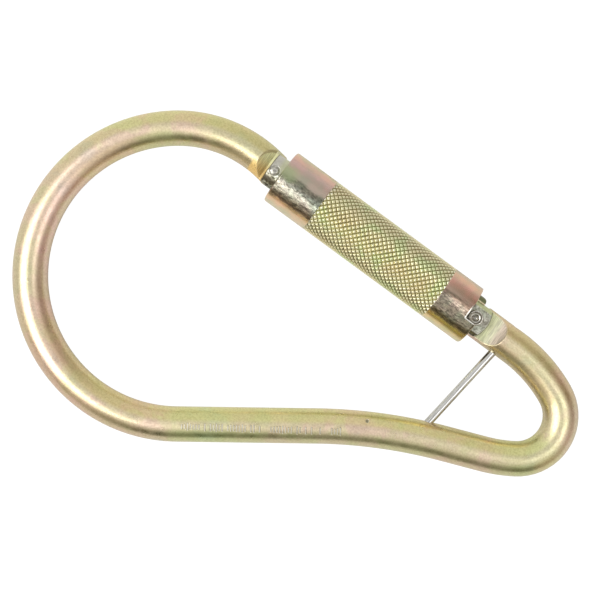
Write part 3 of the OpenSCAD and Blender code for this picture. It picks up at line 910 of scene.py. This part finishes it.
@dataclass
class Bar:
    """The bent round bar and the bright pin across its small end."""

    radius: float = 6.5
    sides: int = 64
    start: float = 7.0
    chord: float = 1.8
    legs: tuple[Leg, ...] = (
        Leg(length=25.0),
        Leg(radius=56.0, turn=24.0),
        Leg(radius=16.0, turn=122.5),
        Leg(radius=57.0, turn=12.0),
        Leg(length=15.0),
        Leg(radius=195.0, turn=-14.0),
        Leg(length=51.5),
        Leg(radius=54.5, turn=179.0),
        Leg(radius=48.0, turn=46.0),
        Leg(length=6.0),
    )
    tongue: Tongue = field(default_factory=Tongue)
    hook: Hook = field(default_factory=Hook)
    pin_r: float = 1.5
    pin_x: float = -13.9
    pin_lean: float = 6.3
    pin_ends: Point = (-6.3, 46.5)
    punch_r: float = 0.65
    punch_floor: float = 5.0

    def sweep(self) -> BMesh:
        """Draws the round bar along its legs."""
        bm = bmesh.new()
        heading, at = math.pi, Vector((self.start, 0, 0))
        place = Matrix.Translation(at) @ Matrix.Rotation(math.pi / 2, 4, "Y")
        size = {"radius": self.radius, "segments": self.sides}
        bmesh.ops.create_circle(bm, cap_ends=False, matrix=place, **size)
        ring = list(bm.edges)
        for leg in self.legs:
            if leg.turn:
                side = math.copysign(1, leg.turn)
                centre = at + Vector((math.sin(heading), -math.cos(heading), 0)) * side * leg.radius
                turn = -math.radians(leg.turn)
                steps = max(4, round(abs(turn) * leg.radius / self.chord))
                geom = ring + list({v for e in ring for v in e.verts})
                bend = {"cent": centre, "axis": (0, 0, 1), "angle": turn, "steps": steps}
                made = bmesh.ops.spin(bm, geom=geom, **bend)
                ring = [g for g in made["geom_last"] if isinstance(g, BMEdge)]
                at = centre + Matrix.Rotation(turn, 3, "Z") @ (at - centre)
                heading += turn
            else:
                step = Vector((math.cos(heading), math.sin(heading), 0)) * leg.length
                grown = bmesh.ops.extrude_edge_only(bm, edges=ring)["geom"]
                fresh = {g for g in grown if isinstance(g, BMVert)}
                bmesh.ops.translate(bm, vec=step, verts=list(fresh))
                ring = [e for e in bm.edges if set(e.verts) <= fresh]
                at += step
        bmesh.ops.remove_doubles(bm, verts=bm.verts, dist=1e-4)
        bmesh.ops.holes_fill(bm, edges=bm.edges, sides=0)
        bmesh.ops.recalc_face_normals(bm, faces=bm.faces)
        return bm

    def tongue_tools(self) -> list[BMesh]:
        """The tools that mill the tongue's two flats and trim its outline."""
        t = self.tongue
        dip = math.degrees(math.acos(1 - t.cove_depth / t.cove))
        wall = arc((-t.run, t.half + t.cove), t.cove, 270, 270 - dip, 20)
        flat = [(FAR, t.half), *wall, (wall[-1][0], FAR), (FAR, FAR)]
        cam = arc((0, t.cam_offset), t.cam_r, 90, -90, 40)
        upper = [(-t.run, FAR), (-t.run, t.flare), (-t.run / 2, t.neck)]
        lower = [(x, -y) for x, y in reversed(upper)]
        trim = [*upper, *cam, *lower, (FAR, -FAR), (FAR, FAR)]
        return [*both_flats(flat), prism(trim, -CLEAR, CLEAR)]

    def heel(self) -> BMesh:
        """The square lug that stops the gate from closing past the bar."""
        t = self.tongue
        corner = (t.heel_back + t.heel_corner, t.heel_corner - t.heel_r)
        outline = [
            (t.heel_front, -t.cam_offset),
            (t.heel_back, -t.cam_offset),
            *arc(corner, t.heel_corner, 180, 270, 10),
            (t.heel_front, -t.heel_r),
        ]
        block = prism(outline, -t.half, t.half)
        round_stock = rod(t.heel_r, (t.heel_back - 1, 0, 0), (t.heel_front + 1, 0, 0), 128)
        return work(block, [round_stock], Cut.KEEP)

    def nose_tools(self) -> list[BMesh]:
        """The tools that cut the nose's two ramps, its tip and its notch."""
        h = self.hook
        top = h.half + h.ramp_rise
        ramp = [(60.0, h.half), (h.ramp_foot, h.half), (h.ramp_foot + h.ramp_rise, top), (60.0, top)]
        low = h.chamfer - self.radius
        tip = [
            (h.tip - 24, -FAR),
            (h.tip + FAR + low, -FAR),
            (h.tip, low),
            (h.tip, h.lip),
            (LATCH_X - h.notch_r, h.lip),
            *arc((LATCH_X, 0), h.notch_r, 180, 360, 20),
            (LATCH_X + h.notch_r, FAR),
            (h.tip - 24, FAR),
        ]
        return [*both_flats(ramp), prism(tip, -CLEAR, CLEAR)]

    def pin_line(self, along: float) -> tuple[float, float, float]:
        """A point on the eye pin, that far from where it crosses the bar's centre."""
        lean = math.radians(self.pin_lean)
        return (self.pin_x + along * math.sin(lean), along * math.cos(lean), 0.0)

    def build(self, zinc: Material, steel: Material) -> None:
        """Builds the bar and its eye pin."""
        low, high = self.pin_ends
        hole = rod(self.pin_r, self.pin_line(low - 2), self.pin_line(high))
        punch = rod(self.punch_r, (*PUNCH, self.punch_floor), (*PUNCH, self.radius + 1), 24)
        bm = work(self.sweep(), self.tongue_tools())
        bm = work(bm, [self.heel()], Cut.JOIN)
        bm = work(bm, [*self.nose_tools(), hole, punch])
        Piece("bent_bar", Body.FRAME, Slot.BAR, zinc, ("body",)).publish(bm)
        pin = rod(self.pin_r, self.pin_line(low), self.pin_line(high), 64)
        Piece("eye_pin", Body.FRAME, Slot.PIN, steel, ("captive_eye_pin",)).publish(pin)


# ---------------------------------------------------------------- gate


@dataclass
class Gate:
    """The gate arm between its fork and its nose slot, with its rivet and latch pin."""

    radius: float = 6.7
    length: float = 93.1
    ear_half: float = 5.0
    ear_flat: float = 3.9
    fork_floor: float = 6.8
    fork_half: float = 3.2
    nose_floor: float = 87.9
    nose_half: float = 2.7
    bore_r: float = 3.0
    bore_end: float = 30.0
    groove_r: float = 6.1
    grooves: tuple[Point, ...] = ((8.7, 9.9), (78.7, 79.9))
    latch_r: float = 1.1
    latch_head_r: float = 1.7
    latch_gap: float = 0.25
    latch_seat: float = 6.2
    latch_proud: float = 0.2
    rivet_r: float = 2.0
    rivet_head_r: float = 2.9
    rivet_head_h: float = 1.2
    dimple_r: float = 1.5
    dimple: float = 0.4
    stop_x: float = 81.6
    stop_r: float = 1.0
    stop_turn: float = 60.0
    stop_foot: float = 4.6

    def blank(self) -> BMesh:
        """Turns the arm with its rounded nose end and its ring grooves."""
        r, g = self.radius, self.groove_r
        profile: list[Point] = [(-EAR_REACH, 0.0), (-EAR_REACH, r)]
        for a, b in self.grooves:
            profile += [(a, r), (a, g), (b, g), (b, r)]
        profile += [*arc((self.length - 0.5, r - 0.5), 0.5, 90, 0, 5), (self.length, 0.0)]
        return lathe(profile, 96)

    def band(self, start: float, end: float) -> list[Point]:
        """An outline across the whole gate, between two places along it."""
        return [(start, -FAR), (end, -FAR), (end, FAR), (start, FAR)]

    def ear_tools(self) -> list[BMesh]:
        """The tools that round the ears and mill their outer flats."""
        centre = EAR_END_R - EAR_REACH
        start = 180 - math.degrees(math.acos(centre / EAR_END_R))
        curve = arc((centre, 0), EAR_END_R, start, 360 - start, 40)
        around = [(0.0, FAR), *curve, (0.0, -FAR), (-FAR, -FAR), (-FAR, FAR)]
        flat = self.band(-FAR, self.ear_flat)
        ears = [prism(flat, self.ear_half, FAR), prism(flat, -FAR, -self.ear_half)]
        return [prism(around, -CLEAR, CLEAR), *ears]

    def slot_tools(self) -> list[BMesh]:
        """The tools that cut the fork, the nose slot and every hole."""
        x, seat, head = LATCH_X, self.latch_seat, self.latch_head_r + self.latch_gap
        turn = math.radians(self.stop_turn)
        out = Vector((0, -math.sin(turn), math.cos(turn)))
        foot = Vector((self.stop_x, 0, 0))
        return [
            prism(self.band(-FAR, self.fork_floor), -self.fork_half, self.fork_half),
            prism(self.band(self.nose_floor, 110.0), -self.nose_half, self.nose_half),
            rod(self.bore_r, (0, 0, 0), (self.bore_end, 0, 0)),
            rod(self.rivet_r, (0, 0, -THROUGH), (0, 0, THROUGH)),
            rod(self.latch_r, (x, 0, -THROUGH), (x, 0, THROUGH), 32),
            rod(head, (x, 0, seat), (x, 0, seat + 6), 32),
            rod(head, (x, 0, -seat - 6), (x, 0, -seat), 32),
            rod(self.stop_r, foot + out * self.stop_foot, foot + out * FAR, 24),
        ]

    def rivet(self) -> BMesh:
        """Turns the rivet with its two dimpled heads, standing up."""
        r, head, top = self.rivet_r, self.rivet_head_r, self.ear_half + self.rivet_head_h
        end: list[Point] = [
            (self.ear_half, r),
            (self.ear_half, head),
            *arc((top - 0.5, head - 0.5), 0.5, 90, 0, 6),
            (top, self.dimple_r + 0.25),
            (top - 0.12, self.dimple_r),
            (top - self.dimple, self.dimple_r - 0.5),
            (top - self.dimple * 0.55, 0.35),
            (top - self.dimple * 0.5, 0.0),
        ]
        return standing_pin(end, 64)

    def latch(self) -> BMesh:
        """Turns the latch pin with its two low domed heads, standing up."""
        r, head, seat = self.latch_r, self.latch_head_r, self.latch_seat
        top = self.radius + self.latch_proud
        dome: list[Point] = [(top - 0.3, head), (top - 0.1, head * 0.8), (top, head * 0.4), (top, 0.0)]
        end: list[Point] = [(seat, r), (seat, head), *dome]
        bm = standing_pin(end, 48)
        bmesh.ops.translate(bm, verts=bm.verts, vec=(LATCH_X, 0, 0))
        return bm

    def build(self, zinc: Material, steel: Material, pin: Material) -> None:
        """Builds the gate arm, its rivet and its latch pin."""
        arm = work(work(self.blank(), self.ear_tools()), self.slot_tools())
        Piece("gate_bar", Body.GATE, Slot.GATE, zinc, ("gate_arm",)).publish(arm)
        Piece("peened_rivet", Body.GATE, Slot.RIVET, steel, ("hinge_rivet",)).publish(self.rivet())
        Piece("latch_cross_pin", Body.GATE, Slot.GATE, pin, ("latch_pin",)).publish(self.latch())


# ---------------------------------------------------------------- sleeve


@dataclass
class Sleeve:
    """The twist sleeve: a turned shell with a knurled band let into it."""

    radius: float = SLEEVE_R
    bore: float = 9.1
    length: float = 88.0
    corner: float = 0.7
    lip: float = 0.9
    lip_round: Point = (1.1, 0.8)
    lip_bore: Point = (1.0, 0.6)
    bed_r: float = 10.0
    root_r: float = 10.32
    around: int = 30
    along: int = 26
    diamond_steps: tuple[Point, ...] = ((0.02, 0.0), (0.15, 0.09), (0.15, 0.09), (0.02, 0.005))
    cut_corner: float = 0.8
    cut_bevel: float = 0.35
    sharp: float = 0.7

    def shell(self) -> BMesh:
        """Turns the shell and cuts one half of its hinge end back."""
        r, c = self.radius, self.corner
        low, high = KNURL
        back, across = self.lip_round
        quarter = arc((0, 0), 1, 180, 90, 8)
        profile = [
            (self.lip_bore[0] - self.lip, self.bore),
            (-self.lip, self.bore + self.lip_bore[1]),
            *((back * (x + 1) - self.lip, r - across * (1 - y)) for x, y in quarter),
            (low - 0.12, r),
            (low, r - 0.12),
            (low, self.bed_r),
            (high, self.bed_r),
            (high, r - 0.12),
            (high + 0.12, r),
            *arc((self.length - c, r - c), c, 90, 0, 8),
            (self.length, self.bore + 0.25),
            (self.length - 0.25, self.bore),
        ]
        (floor, side), k = CUT_BACK, self.cut_corner
        outline = [
            (-2.0, side),
            (-2.0, -14.0),
            (floor, -14.0),
            *arc((floor - k, side - k), k, 0, 90, 6),
        ]
        bm = work(lathe(profile, 128), [prism(outline, -14, 14)])
        bmesh.ops.remove_doubles(bm, verts=bm.verts, dist=1e-3)
        rims = [e for e in bm.edges if all(self.on_cut(v.co) for v in e.verts)]
        rims = [e for e in rims if e.calc_face_angle(0) > self.sharp]
        bmesh.ops.bevel(
            bm, geom=rims, offset=self.cut_bevel, offset_type="OFFSET", affect="EDGES",
            segments=2, profile=0.5, material=-1, clamp_overlap=True,
        )
        return bm

    def on_cut(self, place: Vector) -> bool:
        """Whether a place is on the outer rim of the cut-back, clear of the sleeve's own end."""
        if math.hypot(place.y, place.z) < self.radius - 0.02 or place.x > CUT_BACK[0] + 0.01:
            return False
        return place.x > self.lip_round[0] - self.lip + 0.05 and place.y < CUT_BACK[1] + 0.01

    def in_sheet(self, place: Vector) -> bool:
        """Whether a diamond's middle is on the sheet that becomes the band, or just off it."""
        return -1.5 < place.x < self.around + 1.5 and -1.5 < place.y < self.along + 1.5

    def knurl_band(self) -> BMesh:
        """Rolls a sheet of raised diamonds into the knurled band."""
        cells = self.around + self.along + 4
        side = math.sqrt(0.5)
        bm = bmesh.new()
        bmesh.ops.create_grid(bm, x_segments=cells, y_segments=cells, size=cells * side / 2)
        bmesh.ops.rotate(bm, verts=bm.verts, matrix=Matrix.Rotation(math.pi / 4, 3, "Z"))
        bmesh.ops.translate(bm, verts=bm.verts, vec=(self.around / 2, self.along / 2, 0))
        diamonds = [f for f in bm.faces if self.in_sheet(f.calc_center_median())]
        for inset, rise in self.diamond_steps:
            bmesh.ops.inset_individual(bm, faces=diamonds, thickness=inset, depth=rise)
        for at, out in (
            ((0, 0, 0), (-1, 0, 0)),
            ((self.around, 0, 0), (1, 0, 0)),
            ((0, 0, 0), (0, -1, 0)),
            ((0, self.along, 0), (0, 1, 0)),
        ):
            geom = [*bm.verts, *bm.edges, *bm.faces]
            plane = {"plane_co": at, "plane_no": out, "clear_outer": True, "dist": 1e-5}
            bmesh.ops.bisect_plane(bm, geom=geom, **plane)
        low, high = KNURL
        peak = sum(rise for _, rise in self.diamond_steps)
        for vert in bm.verts:
            turn = math.tau * vert.co.x / self.around
            height = self.root_r + vert.co.z / peak * (self.radius - self.root_r)
            across = low + (high - low) * vert.co.y / self.along
            vert.co = (across, height * math.cos(turn), height * math.sin(turn))
        bmesh.ops.remove_doubles(bm, verts=bm.verts, dist=1e-3)
        rims = [e for e in bm.edges if e.is_boundary]
        grown = bmesh.ops.extrude_edge_only(bm, edges=rims)["geom"]
        fresh = {g for g in grown if isinstance(g, BMVert)}
        for vert in fresh:
            inward = (self.bed_r - 0.2) / math.hypot(vert.co.y, vert.co.z)
            vert.co.y *= inward
            vert.co.z *= inward
        loops = [e for e in bm.edges if e.is_boundary and set(e.verts) <= fresh]
        bmesh.ops.bridge_loops(bm, edges=loops)
        return bm

    def build(self, zinc: Material, rolled: Material) -> None:
        """Builds the shell and its knurled band."""
        Piece("sleeve_shell", Body.SLEEVE, Slot.SLEEVE, zinc, ("lock_sleeve",)).publish(self.shell())
        Piece("sleeve_knurl", Body.SLEEVE, Slot.SLEEVE, rolled, crease=25.0).publish(self.knurl_band())


@dataclass
class Innards:
    """The small parts inside the sleeve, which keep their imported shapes."""

    bushes: tuple[str, ...] = ("nose_bush", "hinge_bush")
    steels: tuple[str, ...] = (
        "gate_plunger",
        "gate_spring",
        "sleeve_spring",
        "sleeve_stop_pin",
        "nose_snap_ring",
        "hinge_snap_ring",
    )

    def dress(self, bush: Material, steel: Material) -> None:
        """Gives each hidden part its finish."""
        for names, material in ((self.bushes, bush), (self.steels, steel)):
            for name in names:
                mesh = frame["nodes"][name].data
                mesh.materials.clear()
                mesh.materials.append(material)
                LOG.info("%s keeps its packed shape, in %s", name, material.name)


# ---------------------------------------------------------------- studio


@dataclass(frozen=True)
class SkyPatch:
    """A soft patch of the surround that is darker or lighter than the rest."""

    bearing: float
    from_zenith: float
    core: float
    rim: float
    change: Colour


@dataclass(frozen=True)
class SoftBox:
    """A square soft light that faces the object."""

    name: str
    bearing: float
    from_zenith: float
    size: float
    radiance: float
    away: float = 1.2

    def light(self) -> None:
        """Hangs the light in the scene."""
        out = towards(self.bearing, self.from_zenith)
        data = bpy.data.lights.new(self.name, "AREA")
        data.shape, data.size = "SQUARE", self.size
        data.energy = self.radiance * math.pi * self.size**2
        lamp = bpy.data.objects.new(self.name, data)
        lamp.location = out * self.away
        lamp.rotation_euler = out.to_track_quat("Z", "Y").to_euler()
        bpy.context.scene.collection.objects.link(lamp)


@dataclass
class Studio:
    """A pale floor, a soft surround and a camera straight above."""

    floor_z: float = -0.0107
    floor_size: float = 6.0
    floor_glow: float = 1.15
    floor_share: float = 0.86
    surround: Colour = (0.74, 0.73, 0.70)
    darkest: Colour = (0.10, 0.10, 0.07)
    backdrop: Colour = (0.96, 0.96, 0.96)
    eye: tuple[float, float, float] = (-0.0057, 0.00985, 0.5)
    turn: float = 22.0
    lens: float = 82.8
    patches: tuple[SkyPatch, ...] = (
        SkyPatch(0, 0, 6, 34, (-0.08, -0.08, -0.05)),
        SkyPatch(22, 70, 8, 30, (-0.26, -0.31, -0.30)),
        SkyPatch(52, 64, 8, 32, (-0.27, -0.29, -0.33)),
        SkyPatch(352, 84, 8, 30, (-0.18, -0.24, -0.26)),
        SkyPatch(322, 82, 8, 30, (-0.24, -0.30, -0.31)),
        SkyPatch(292, 74, 10, 36, (-0.48, -0.46, -0.49)),
        SkyPatch(262, 70, 8, 32, (-0.24, -0.24, -0.27)),
        SkyPatch(232, 60, 8, 36, (-0.13, -0.16, -0.18)),
    )
    boxes: tuple[SoftBox, ...] = (
        SoftBox("key_box", 212, 38, 0.9, 2.6),
        SoftBox("fill_box", 2, 30, 0.5, 1.4),
    )

    def floor(self) -> None:
        """Lays the floor."""
        bm = bmesh.new()
        bmesh.ops.create_grid(bm, x_segments=1, y_segments=1, size=self.floor_size)
        bmesh.ops.translate(bm, verts=bm.verts, vec=(0, 0, self.floor_z))
        sheet = loose_object(bm, "floor")
        bench = Bench("floor_white")
        seen = bench.node("ShaderNodeLightPath").outputs["Is Camera Ray"]
        paper = bench.node("ShaderNodeBsdfDiffuse", {"Color": (0.8, 0.8, 0.79, 1)}).outputs[0]
        lit = {"Color": (1, 1, 1, 1), "Strength": self.floor_glow}
        glow = bench.node("ShaderNodeEmission", lit).outputs[0]
        share = bench.times(seen, self.floor_share)
        mixed = bench.node("ShaderNodeMixShader", {0: share, 1: paper, 2: glow}).outputs[0]
        bench.node("ShaderNodeOutputMaterial", {"Surface": mixed})
        sheet.data.materials.append(bench.owner)

    def sky(self) -> None:
        """Paints the surround, with its soft dark patches."""
        bench = Bench("studio", bpy.data.worlds)
        bpy.context.scene.world = bench.owner
        way = bench.node("ShaderNodeTexCoord").outputs["Generated"]
        total: Any = self.surround
        for patch in self.patches:
            near = bench.vector("DOT_PRODUCT", way, towards(patch.bearing, patch.from_zenith))["Value"]
            rim, core = (math.cos(math.radians(angle)) for angle in (patch.rim, patch.core))
            eased = bench.remap(near, rim, core)
            inputs = {0: patch.change, "Scale": eased}
            change = bench.node("ShaderNodeVectorMath", inputs, operation="SCALE").outputs["Vector"]
            total = bench.vector("ADD", total, change)["Vector"]
        total = bench.vector("MAXIMUM", total, self.darkest)["Vector"]
        seen = bench.node("ShaderNodeLightPath").outputs["Is Camera Ray"]
        shown = bench.mix(seen, total, self.backdrop)
        shine = bench.node("ShaderNodeBackground", {"Color": shown}).outputs[0]
        bench.node("ShaderNodeOutputWorld", {"Surface": shine})

    def camera(self) -> None:
        """Hangs the camera above the object, turned with it."""
        data = bpy.data.cameras.new("camera")
        data.lens, data.sensor_width = self.lens, 36.0
        data.clip_start, data.clip_end = 0.01, 20.0
        eye = bpy.data.objects.new("camera", data)
        eye.location = self.eye
        eye.rotation_euler = (0, 0, math.radians(self.turn))
        bpy.context.scene.collection.objects.link(eye)
        bpy.context.scene.camera = eye

    def build(self) -> None:
        """Sets the whole studio up."""
        self.floor()
        self.sky()
        self.camera()
        for box in self.boxes:
            box.light()
        bpy.context.scene.view_settings.view_transform = "Standard"


def main() -> None:
    """Builds every sub-assembly in order, then the studio."""
    logging.basicConfig(level=logging.INFO, format="%(name)s: %(message)s")
    zinc = YellowZinc().material()
    grey = GreyZinc().material()
    rivet = RivetSteel("rivet_steel", (0.0, 0.0), RIVET_HIGHLIGHT_AND_SHADE_RINGS).material()
    latch = RivetSteel("latch_steel", (LATCH_X, 0.0), LATCH_RINGS).material()
    bright = DrawnSteel("bright_steel", (0.80, 0.80, 0.78), (0.54, 0.54, 0.52), 0.08).material()
    wire = DrawnSteel("spring_wire", (0.5, 0.5, 0.5), (0.3, 0.3, 0.3), 0.3, (1.0, 1.0, 1.0))
    Bar().build(zinc, bright)
    Gate().build(grey, rivet, latch)
    Sleeve().build(SleeveZinc().material(), KnurlZinc().material())
    Innards().dress(grey, wire.material())
    Studio().build()


if __name__ == "__main__":
    main()
